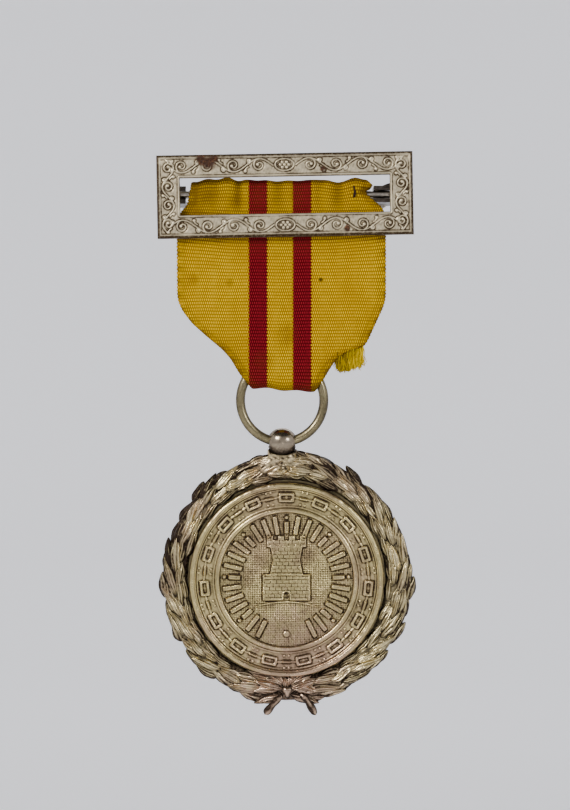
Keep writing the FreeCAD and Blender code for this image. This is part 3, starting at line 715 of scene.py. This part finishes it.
def threads():
    """The dark tacking stitch in front, and the seam's running stitches behind."""
    b = Build()
    y = BAR_Y - MID_Y - 0.30
    q = ramp(14)
    for dx, z0, z1 in ((0.0, -0.75, 1.25), (0.16, -0.55, 0.55)):
        line = points(9.95 + dx + 0.10 * np.sin(q * 3), y + 0.34 * (2 * np.abs(q - 0.5)) ** 4,
                      z0 + (z1 - z0) * q)
        b.tube(line, 0.10, 8)
    b.make("tacking_thread", "ribbon", "dark_thread", dark_thread, ["tack_stitch"])
    b = Build()
    y = BAR_Y + MID_Y + 0.08
    q = ramp(9)
    dip = 0.22 * (2 * np.abs(q - 0.5)) ** 3
    stitches, pitch, length = 19, 1.22, 0.8
    for k in range(stitches):
        z = -9.0 + 0.06 * math.sin(k * 2.1) + 0.1 * q
        b.tube(points(-11.4 + k * pitch + length * q, y - dip, z), 0.11, 7)
    b.make("running_stitches", "ribbon", "yellow_thread", seam_thread, ["back_seam"])


# ---- ring, ball and collar


def ring():
    """The wire ring, with random wear, and painted shade on its inner and outer sides that leaves a painted
    highlight along its front and back.
    """
    a, t = circle(220)[:, None], circle(36)[None]
    rr = RING_R + WIRE_R * np.cos(t)
    px, pz = RING_X + rr * np.cos(a), RING_Z + rr * np.sin(a)
    wear = 0.35 + 0.3 * wobble(RING_R * np.cos(a), RING_R * np.sin(a), 5, 31)
    # painted shade on the wire's inner and outer sides, over random wear
    dirt = unit(0.4 * wear + 0.80 * np.abs(np.cos(t)) ** 1.5)
    b = Build()
    b.grid(points(px, BAR_Y + WIRE_R * np.sin(t), pz), dirt, around=True, along=True)
    b.make("wire_ring", "ring", "nickel", nickel, ["suspension_ring"])


def ball():
    """A drilled ball, turned about X: the outside, then the hole, flared upwards for the ring's wire."""
    t = circle(84)[None]
    flare = step(-1.0, -0.1, np.sin(t))
    mouth = 0.78 + 0.30 * flare
    a0 = np.arcsin(mouth / BALL_R)
    q = ramp(60)[:, None]
    a = a0 + (PI - 2 * a0) * q
    half_x = 1.06 * BALL_R  # it is a little wider than it is high
    x1, r1 = half_x * np.cos(a), BALL_R * np.sin(a)
    x2 = (2 * ramp(26)[1:-1, None] - 1) * half_x * np.cos(a0)
    tight = WIRE_R + 0.07
    r2 = tight + (RING_R + 0.07 - np.sqrt((RING_R - WIRE_R) ** 2 - x2 ** 2) - tight) * flare
    x, r = np.concatenate([x1, x2]), np.concatenate([r1, r2])
    p = points(RING_X + x, BAR_Y + r * np.cos(t), BALL_Z + r * np.sin(t))
    b = Build()
    # dark inside the hole; painted shade towards the ends, on the lower half and at the very top
    dirt = np.concatenate([0.12 + 0.6 * np.abs(x1 / BALL_R) ** 4, np.full(x2.shape, 0.95)])
    dirt = unit(dirt + step(-0.1, -0.95, np.sin(t)) + 0.35 * step(0.75, 1.0, np.sin(t)))
    b.grid(p, dirt, around=True, along=True)
    b.make("drilled_ball", "medal", "nickel", ball_nickel, ["suspension_ball"])


def collar():
    """A saddle that hugs the ball and runs out into the wreath, with small leaves and berries laid on it."""
    t = circle(96)
    q = ramp(34)[:, None]
    co, si = np.cos(t), np.sin(t)
    top = BALL_Z - 1.95 + 0.95 * np.maximum(np.abs(co) ** 3, step(-0.2, 0.5, si))[None]
    zz = top * (1 - q) + (BALL_Z - 3.5) * q
    rx, ry = 2.12 + 1.7 * step(0.35, 1.0, q), 1.15 - 0.15 * q
    power = 2.4  # between a round section, 2, and a square one
    rr = 1 / (np.abs(co) ** power + np.abs(si) ** power) ** (1 / power)
    x = RING_X + rx * (co * rr)[None] + 0.05 * wobble(zz, t[None] * 1.2, 1.1, 41)
    y = BAR_Y - 0.1 + ry * (si * rr)[None]
    y = y + 0.06 * wobble(x, zz, 0.8, 42)
    dirt = unit(0.35 + 0.5 * step(0.15, 0.0, q) + 0.3 * step(0.8, 1.0, q) + 0.5 * wobble(x, zz, 0.9, 43))
    b = Build()
    b.grid(points(x, y, zz), dirt, around=True)
    middle = RING_X * 0.7
    for across, up, rise, length, width, high in (
            (-0.9, 17.75, 196, 3.6, 1.35, 0.50), (0.9, 17.75, -16, 3.6, 1.35, 0.50),
            (-0.3, 17.6, 218, 2.9, 1.25, 0.62), (0.3, 17.6, -38, 2.9, 1.25, 0.62),
            (-0.1, 17.6, 250, 1.9, 0.95, 0.78), (0.2, 17.6, -68, 1.9, 0.95, 0.78)):
        leaf(b, (middle + across, up), math.radians(rise), length, width, high, high - 0.25, 0.12)
    for sx, sz, r in ((-0.62, -2.45, 0.22), (0.55, -2.5, 0.24), (-0.40, -3.3, 0.27), (0.45, -3.35, 0.25),
                      (0.0, -3.75, 0.27)):
        bead(b, middle + sx, BAR_Y - 1.15, BALL_Z + sz, r, 0.35)
    b.make("flared_collar", "medal", "medal_silver", leaf_silver, ["ball_collar"])


def bead(b, x, y, z, r, dirt):
    """A half round berry."""
    t, a = circle(18), np.linspace(0, PI / 2, 8)[:, None]
    across = r * np.sin(a)
    p = points(x + across * np.cos(t), y - r * np.cos(a), z + across * np.sin(t))
    b.grid(p, dirt + 0.7 * np.sin(a) ** 6, around=True)


# ---- wreath


def leaf(b, root, heading, length, width, high, tip_high, dirt, curl=0.0, blunt=0.80):
    """A laurel leaf. root is (x, z) about the medal's centre, heading in radians, high the root's height.

    curl bends the tip sideways, and a smaller blunt makes the outline rounder."""
    rows = 34
    q = ramp(rows)[:, None]
    w = np.linspace(-1, 1, 27)[None]
    one = math.sin(root[0] * 7 + root[1] * 5)  # two values that make no two leaves alike
    two = math.sin(root[0] * 3 - root[1] * 11)
    half = width / 2 * np.sin(PI * q ** 0.80) ** blunt * (1 - 0.12 * q)
    half = np.maximum(half * (1 + 0.07 * np.sin(q * 9 + 5 * one) * w), 0.03)
    body = np.sin(PI * np.clip(q, 0.03, 0.97))
    along = q * length
    across = w * half + curl * length * q ** 2 * 0.14
    phase = 2 * PI * (w * (1.75 + 0.5 * two) + 0.42 * np.sin(q * 4.5 + root[0] * 3) + 0.35 * np.abs(w) * q)
    ridges = (0.085 + 0.035 * np.sin(q * 7 + 9 * two)) * np.cos(phase) * body ** 0.5
    side_veins = 0.04 * np.sin((along * 1.9 + np.abs(w) * 2.0) * 2 * PI * 0.62) * body * np.abs(w)
    rib = 0.13 * hill(w, 0, 0.14) * (1 - 0.6 * q)
    h = high + (tip_high - high) * q + 0.40 * (1 - np.abs(w) ** 2.2) * body ** 0.45
    h = h + rib + ridges + side_veins - 0.12 * np.abs(w) ** 8
    h = h + 0.20 * one * w * body + 0.08 * two * np.sin(q * 6)
    ch, sh = math.cos(heading), math.sin(heading)
    x = root[0] + along * ch - across * sh
    z = root[1] + along * sh + across * ch
    d = dirt + 0.9 * np.abs(w) ** 6 + 0.9 * np.exp(-q / 0.12)
    d = d + 0.62 * (0.5 - 0.5 * np.cos(phase)) ** 1.8 * body ** 0.5
    d = d - 0.25 * hill(w, 0, 0.2) + 0.60 * unit(0.80 - h)
    p = points(x, BAR_Y - h, z + MEDAL_Z)
    b.grid(p, unit(d))
    rim = np.concatenate([p[:, 0], p[::-1, -1]])
    low = b.wall(rim, BAR_Y + 0.5, 3, 0.80, around=True)
    b.grid(np.stack([low[:rows], low[rows:][::-1]], 1), 0.55)


def wreath():
    """Two sprays of leaves, laid in rows from the bow up to the saddle, on a ring that lies behind them."""
    halves = {1: Build(), -1: Build()}
    # shift in degrees, radius, tilt, length, width, height at the root and at the tip
    rows = ((1.0, 17.28, 13, 3.7, 1.60, 0.05, 0.00), (5.0, 16.90, 10, 4.5, 1.60, 0.34, 0.20),
            (-2.2, 15.05, -4, 4.3, 1.50, 0.28, 0.18), (6.5, 15.65, -1, 4.7, 1.60, 0.52, 0.32),
            (2.6, 16.25, 4, 4.9, 1.60, 0.64, 0.40))
    for side in (1, -1):
        b = halves[side]

        def place(a, radius, tilt, length, width, high, tip, dark):
            rim = radius > 17.0 and a < 160  # along the outline the tips are rounder and bend inwards
            ar = math.radians(a)
            root = (side * radius * math.sin(ar) + MEDAL_X, -radius * math.cos(ar))
            head = math.radians(a - tilt)
            leaf(b, root, head if side > 0 else PI - head, length, width, high, tip, dark,
                 curl=side * (rng.uniform(-0.9, 0.7) + 1.1 * rim), blunt=0.55 if rim else 0.80)
        for k in range(14):
            for shift, radius, tilt, length, width, high, tip in rows:
                a = 9.0 + 11.85 * k + shift + rng.normal(0, 1.2)
                size = rng.uniform(0.84, 1.10)
                reach = math.radians(178.5 - a) * radius
                if a < 75:
                    tilt, radius = tilt * 0.72, radius + 0.12 * (radius > 16.5)
                outer = side < 0 and 92 < a < 150 and radius > 16.7  # this stretch of the edge is tarnished
                # painted light: the leaves of the left spray are made a little lighter
                dark = 0.04 - 0.07 * (side < 0) + 0.66 * outer + 0.10 * (radius > 16.5)
                dark += rng.uniform(-0.10, 0.20) + 0.20 * (rng.uniform() < 0.18)
                place(a, radius + rng.normal(0, 0.13), tilt + rng.normal(0, 4.0),
                      min(length * size, reach + 0.6), width * rng.uniform(0.85, 1.12),
                      high + rng.normal(0, 0.08), tip, dark)
        for a, radius, tilt, length, width, high, drop, dark in (
                (161.0, 17.5, 8, 3.6, 1.7, 0.30, 0.1, 0.1), (166.5, 17.4, 0, 3.4, 1.8, 0.45, 0.1, 0.1),
                (166.0, 16.2, -3, 3.9, 2.0, 0.70, 0.1, 0.1), (170.0, 17.2, -6, 2.8, 1.6, 0.60, 0.1, 0.1),
                (170.0, 15.4, -2, 3.0, 1.6, 0.50, 0.1, 0.1), (3.0, 15.6, 10, 4.2, 1.9, 0.75, 0.2, 0.15),
                (2.0, 16.7, 16, 4.4, 1.8, 0.45, 0.2, 0.15), (1.0, 15.1, -12, 3.6, 1.6, 0.50, 0.2, 0.15)):
            place(a, radius, tilt, length, width, high, high - drop, dark)
    inner, outer, back, t = 14.45, 17.75, 0.58, circle(260)

    def band(r, h, dirt, mottle=0.0):
        gx, gz = r[:, None] * np.cos(t), r[:, None] * np.sin(t)
        dirt = dirt + mottle * wobble(gx, gz, 5.0, 81)
        halves[1].grid(points(MEDAL_X + gx, BAR_Y - h[:, None], MEDAL_Z + gz), dirt, around=True)
    bulge = 0.16 + 0.30 * np.sin(np.linspace(0.2, PI - 0.05, 16))
    bulge[0] = bulge[-1] = -back
    band(np.linspace(inner, outer, 16), bulge, 0.75)
    band(np.linspace(outer, inner, 8), np.full(8, -back), 0.35, mottle=0.2)
    halves[1].make("wreath_right", "medal", "medal_silver", leaf_silver, ["wreath"])
    halves[-1].make("wreath_left", "medal", "medal_silver", leaf_silver)


def bow():
    """The bow that ties the sprays: a small knot, leaf-like loops and two round-ended tails."""
    b = Build()
    y = BAR_Y - 0.9
    q = ramp(26)
    a = circle(28)

    def tail(p0, p1, p2):
        line = (1 - q[:, None]) ** 2 * np.array(p0) + 2 * (q * (1 - q))[:, None] * np.array(p1) \
            + (q ** 2)[:, None] * np.array(p2)
        line += (MEDAL_X, y, MEDAL_Z)
        r = (0.42 + 0.18 * q) * np.clip(1 - (np.abs(q - 0.47) / 0.53) ** 9, 0.01, 1) ** 0.5
        r = r * (1 + 0.10 * np.sin(q * 13 + p2[0]))
        t = np.gradient(line, axis=0)
        t /= np.linalg.norm(t, axis=1, keepdims=True)
        side = np.cross(t, [0, 1, 0])
        round_it = side[:, None] * np.cos(a)[:, None] + np.array([0, 1, 0]) * np.sin(a)[:, None]
        # painted shade on the two sides of each tail, so that a painted highlight runs along its front
        edge = 1.25 * np.abs(np.cos(a - 0.25))[None] ** 1.1
        dirt = unit(0.30 + edge + 0.25 * wobble(q[:, None] * 3, a[None], 1.2, 44))
        b.grid(line[:, None] + r[:, None, None] * round_it, dirt, around=True)
    tail((2.0, 0.1, -16.7), (2.9, -0.15, -17.1), (4.25, 0.3, -19.75))
    tail((-0.7, 0.1, -16.9), (-1.5, -0.15, -17.5), (-3.2, 0.3, -19.65))
    for s in (1, -1):
        for up, across, rise, length, width, high, dark in (
                (15.8, 0.15, 80, 1.9, 1.0, 0.75, -0.2), (15.4, 0.25, 56, 2.4, 1.2, 0.60, 0.0),
                (15.5, 0.25, 34, 3.8, 1.6, 0.50, 0.10), (15.9, 0.35, 14, 4.8, 1.5, 0.80, -0.1),
                (16.7, 0.6, 9, 4.7, 1.7, 0.35, 0.80)):
            heading = math.radians(rise)
            leaf(b, (MEDAL_X + s * across, -up), heading if s > 0 else PI - heading, length, width, high,
                 high - 0.3, dark + 0.15 * (s < 0), curl=s * 0.3)
    t, a = circle(48), np.linspace(0, PI, 24)[:, None]
    swell = np.sin(a) * (1 + 0.22 * np.cos(3 * (t - 0.55)))  # three soft lobes
    p = points(MEDAL_X + 0.12 + 0.62 * swell * np.cos(t), y - 0.45 - 0.50 * np.cos(a),
               MEDAL_Z - 16.15 + 0.72 * swell * np.sin(t))
    b.grid(p, unit(0.8 * np.abs(np.sin(a)) ** 4), around=True)
    b.make("bow_knot", "medal", "medal_silver", leaf_silver, ["wreath_bow"])


# ---- discs


def tower_height(x, z):
    """A plain tower with battlements, its courses of stone cut as grooves."""
    foot = box_dist(x, z + 1.12, 3.45, 1.9)
    narrow = 2.0 + 0.28 * np.abs(z - 2.9) ** 1.15 * 0.55
    shaft = np.maximum(np.abs(x) - narrow, np.abs(z - 2.75) - 2.1)
    top = box_dist(x, z - 5.25, 2.85, 0.5)
    d = np.minimum(np.minimum(foot, shaft), top)
    for k in range(4):
        d = np.minimum(d, box_dist(x + 2.42 - 1.61 * k, z - 5.95, 0.44, 0.4))
    h = 0.34 * top_of(d, 0.07)
    h = h + 0.08 * top_of(box_dist(x, z - 4.72, 2.6, 0.14), 0.06)
    h = h + 0.08 * top_of(box_dist(x, z - 0.78, 3.5, 0.13), 0.06)
    course = 0.52
    row = np.floor(z / course)
    joint = np.abs((z / course) % 1 - 0.5) > 0.40
    cross = np.abs(((x + row * 0.37) / 0.9) % 1 - 0.5) > 0.44
    h = h - 0.07 * ((joint | cross) & (d < -0.08))
    door = np.minimum(box_dist(x, z + 2.6, 0.42, 0.45), np.hypot(x, z + 2.2) - 0.42)
    h = h - 0.40 * top_of(door, 0.05) * (h > 0.1)
    h = h + 0.10 * hill(np.abs(door), 0.12, 0.07) * (d < -0.05)
    return h, d


def field_height(x, z):
    """Relief of the middle of the obverse, in millimetres above its ground."""
    r, phi = np.hypot(x, z), np.arctan2(x, z)
    h, d = tower_height(x, z)
    stipple = np.sin(2 * PI * (x + z) / 0.52) * np.sin(2 * PI * (x - z) / 0.52)
    ground = step(0.05, 0.3, d)
    h = h + 0.075 * stipple * ground * (1 - 0.55 * step(5.9, 6.3, r))
    arc = z + 3.25 + 0.035 * x ** 2
    h = h + 0.12 * hill(arc, 0, 0.10) * (np.abs(x) < 4.6)
    bars, start = 29, -153.0
    pitch = 306.0 / (bars - 1)
    deg = np.degrees(phi)
    index = np.clip(np.round((deg - start) / pitch), 0, bars - 1)
    dphi = np.radians(deg - (start + index * pitch))
    across, along = r * np.sin(dphi), r * np.cos(dphi) - 8.0
    short = (index % 4) == 2
    bar = box_dist(across, along + np.where(short, 0.42, 0.0), 0.32, np.where(short, 0.85, 1.35), 0.12)
    dot = np.hypot(across, along - 1.05) - 0.26
    bar = np.minimum(bar, np.where(short, dot, 9.0))
    h = h + 0.36 * top_of(bar, 0.09)
    h = h + 0.25 * dome(np.hypot(x, z + 7.9), 0.48)
    h = h + 0.02 * wobble(x, z, 2.2, 51) + 0.020 * wobble(x, z, 0.5, 52)
    return h


def obverse_field():
    """The middle of the obverse, on a square grid that is rounded to a disc."""
    cells, radius = 306, 9.72
    a, c = np.meshgrid(np.linspace(-1, 1, cells), np.linspace(-1, 1, cells))
    big = np.maximum(np.abs(a), np.abs(c))
    length = np.hypot(a, c) + 1e-12
    x, z = radius * a * big / length, radius * c * big / length
    h = field_height(x, z)
    dirt = unit(0.34 + 1.6 * recess(h, 10, 0.09) + 0.10 * wobble(x, z, 3.5, 53))
    dirt = np.maximum(dirt, 0.5 * step(3.2, 0.0, np.hypot(x, z + 5.2)))
    dirt = unit(dirt - 0.5 * unit((h - blurred(h, 10)) / 0.1))
    b = Build()
    b.grid(points(x + MEDAL_X, BAR_Y - 0.75 - h, z + MEDAL_Z), dirt)
    b.make("obverse_field", "medal", "medal_silver", medal_silver, ["obverse_disc"])


def border_height(rr, tt):
    """Relief of the chain band between its beads, and of the rolled rim round it."""
    x, z = rr * np.sin(tt), rr * np.cos(tt)
    deg = np.degrees(tt)
    pitch, band = 24.0, 11.95  # degrees from link to link, and the radius they lie on
    near = np.radians((deg + pitch / 2) % pitch - pitch / 2)
    half = np.radians(deg % pitch - pitch / 2)
    lx, lz = rr * np.sin(near), rr * np.cos(near) - band
    gx, gz = rr * np.sin(half), rr * np.cos(half) - band
    h = np.zeros_like(rr)
    ring_shape = np.maximum(box_dist(lx, lz, 1.12, 0.66, 0.22), -box_dist(lx, lz, 0.76, 0.30, 0.12))
    h += 0.24 * top_of(ring_shape, 0.07)
    h += 0.06 * hill(lx, 0, 0.2) * top_of(box_dist(lx, lz, 0.7, 0.28), 0.08)
    h += 0.17 * top_of(box_dist(gx, gz, 0.62, 0.2, 0.15), 0.07)
    h += 0.11 * top_of(box_dist(gx, gz, 1.5, 0.10), 0.06)
    for s in (-0.34, 0.34):
        for w in (-0.86, 0.86):
            h += 0.15 * dome(np.hypot(gx - s, gz - w), 0.17)
    h += 0.10 * hill(rr, 10.62, 0.10) + 0.10 * hill(rr, 13.02, 0.09)
    h += 0.30 * dome(rr - 10.05, 0.42)
    h -= 0.20 * step(9.9, 9.62, rr)
    roll = dome(rr - 13.66, 0.52)
    h += 0.62 * roll * (1 + 0.05 * wobble(x, z, 4.0, 61)) + 0.025 * roll * wobble(x, z, 1.1, 62)
    h -= 0.10 * hill(rr, 13.38, 0.07)
    return h + 0.015 * wobble(x, z, 2.0, 63) + 0.008 * wobble(x, z, 0.5, 64)


def obverse_border():
    """The border of the obverse, with its outer wall."""
    r = np.r_[np.linspace(9.66, 13.1, 46), np.linspace(13.15, 14.1, 18), [14.15, 14.16, 14.16]]
    rr, tt = np.meshgrid(r, circle(1180), indexing="ij")
    x, z = rr * np.sin(tt), rr * np.cos(tt)
    h = border_height(rr, tt)
    h = np.where(rr > 14.12, np.where(rr > 14.155, -1.3, h), h)
    h[-1] = -1.45
    h[-2] = np.minimum(h[-3], 0.15)
    flat = h.copy()
    flat[-3:] = h[-4]
    dirt = unit(0.22 + 1.4 * recess(flat, 9, 0.09, True) + 0.10 * wobble(x, z, 4.0, 65))
    dirt = unit(dirt - 0.4 * unit((flat - blurred(flat, 9, True)) / 0.1))
    dirt[-3:] = 0.9
    b = Build()
    b.grid(points(x + MEDAL_X, BAR_Y - 0.95 - h, z + MEDAL_Z), dirt, around=True)
    b.make("obverse_border", "medal", "medal_silver", medal_silver)


def reverse():
    """The plain back: a raised edge and a flat middle with handling marks."""
    back = BAR_Y + 0.6
    prof = [(14.2, -0.02), (15.1, -0.02), (15.3, 0.1), (15.3, 0.55), (15.22, 0.66), (15.05, 0.7), (14.2, 0.7),
            (14.02, 0.66), (13.9, 0.52), (13.75, 0.5), (12, 0.5), (9, 0.5), (6, 0.5), (3, 0.5), (0.01, 0.5)]
    r, y = np.array(prof).T
    t = circle(240)
    rr = r[:, None]
    x, z = rr * np.cos(t), rr * np.sin(t)
    b = Build()
    dirt = unit(0.38 + 0.05 * wobble(x, z, 8, 71) + 0.5 * hill(rr, 13.85, 0.2))
    b.grid(points(x + MEDAL_X, back + y[:, None], z + MEDAL_Z), dirt, around=True)
    b.make("reverse_plate", "medal", "medal_silver", back_silver, ["reverse_disc"])


# ---- brooch fittings


def dress(node, material):
    """Gives a CAD node its material and softens its edges."""
    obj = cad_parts[node]
    obj.data.materials.clear()
    obj.data.materials.append(material)
    bevel = obj.modifiers.new("soft edges", "BEVEL")
    bevel.width = 0.08 * MM
    bevel.segments = 2
    bevel.limit_method = "ANGLE"
    bevel.angle_limit = math.radians(40)


def horn():
    """The pointed front leaf of the hinge, bent over the bar at the right of the window."""
    b = Build()
    q = ramp(24)[:, None]
    a = circle(20)[None]
    y = BAR_Y - 0.75 + 0.25 * np.cos(a) * (0.3 + q)
    z = 0.72 + 0.55 * np.sin(PI / 2 * q) ** 1.2 + (0.06 + 0.42 * q ** 0.7) * np.sin(a)
    b.grid(points(13.3 + 2.6 * q, y, z), 0.6, around=True)
    b.make("hinge_leaf", "brooch", "steel", dark_steel)


# ---- stage, light and camera


def bowl():
    """A pale floor that curves up into a wall on every side, well clear of the medal."""
    prof = [(0.0, -0.13), (0.15, -0.13), (0.3, -0.13), (0.42, -0.125), (0.5, -0.09), (0.545, -0.02),
            (0.56, 0.1), (0.56, 0.3), (0.56, 0.5)]
    t = circle(96)
    pts = np.array([[(r * math.cos(a), r * math.sin(a), z) for a in t] for r, z in prof]) / MM
    n = Nodes("pale paper")
    split = n.new("SeparateXYZ")
    n.put(split.inputs[0], n.object_point())
    n.shader(Base_Color=(0.79, 0.79, 0.82, 1), Roughness=0.95, Emission_Color=(0.95, 0.96, 1.0, 1),
             Emission_Strength=n.smooth(split.outputs[1], -0.35, 0.35, *PAPER_GLOW), Specular_IOR_Level=0.0)
    m = len(t)
    quads = [(i * m + j, i * m + (j + 1) % m, (i + 1) * m + (j + 1) % m, (i + 1) * m + j)
             for i in range(len(prof) - 1) for j in range(m)]
    mesh = bpy.data.meshes.new("paper_bowl")
    mesh.from_pydata((pts.reshape(-1, 3) * MM).tolist(), [], quads)
    mesh.polygons.foreach_set("use_smooth", np.full(len(quads), True))
    mesh.validate()
    mesh.materials.append(n.mat)
    obj = bpy.data.objects.new("paper_bowl", mesh)
    bpy.context.scene.collection.objects.link(obj)


def lamp(name, place, target, size, watts, colour=(1, 1, 1)):
    data = bpy.data.lights.new(name, "AREA")
    data.shape = "RECTANGLE"
    data.size, data.size_y = size
    data.energy = watts
    data.color = colour
    obj = bpy.data.objects.new(name, data)
    obj.location = place
    obj.rotation_euler = (Vector(target) - Vector(place)).to_track_quat("-Z", "Y").to_euler()
    bpy.context.scene.collection.objects.link(obj)


def studio():
    bowl()
    world = bpy.data.worlds.new("studio")
    bpy.context.scene.world = world
    world.use_nodes = True
    sky = world.node_tree.nodes["Background"].inputs
    sky["Color"].default_value = (0.92, 0.96, 1.0, 1)
    sky["Strength"].default_value = 0.06
    middle = (0, 0, -0.035)
    lamp("key", (-0.23, -0.27, 0.18), middle, (0.14, 0.10), 1.30, (1, 0.985, 0.96))
    lamp("fill", (0.26, -0.28, 0.11), middle, (0.10, 0.10), 0.38, (0.93, 0.96, 1))
    lamp("low", (0.03, -0.36, -0.14), middle, (0.05, 0.05), 0.10)
    lamp("back", (0.05, 0.36, 0.26), middle, (0.3, 0.2), 0.4)
    cam = bpy.data.objects.new("camera", bpy.data.cameras.new("camera"))
    bpy.context.scene.collection.objects.link(cam)
    cam.data.lens = 85
    cam.data.clip_start = 0.01
    cam.location = (0.0, (BAR_Y - 1.5) * MM - 0.2775, -0.0307)
    cam.rotation_euler = (PI / 2, 0, 0)
    bpy.context.scene.camera = cam


buckle()
ribbon()
frayed()
threads()
ring()
ball()
collar()
wreath()
bow()
obverse_field()
obverse_border()
reverse()
horn()
for node in ("ribbon_bar", "hinge_rivet", "needle"):
    dress(node, steel)
for node in ("hinge_bracket", "pin_catch"):
    dress(node, dark_steel)
studio()
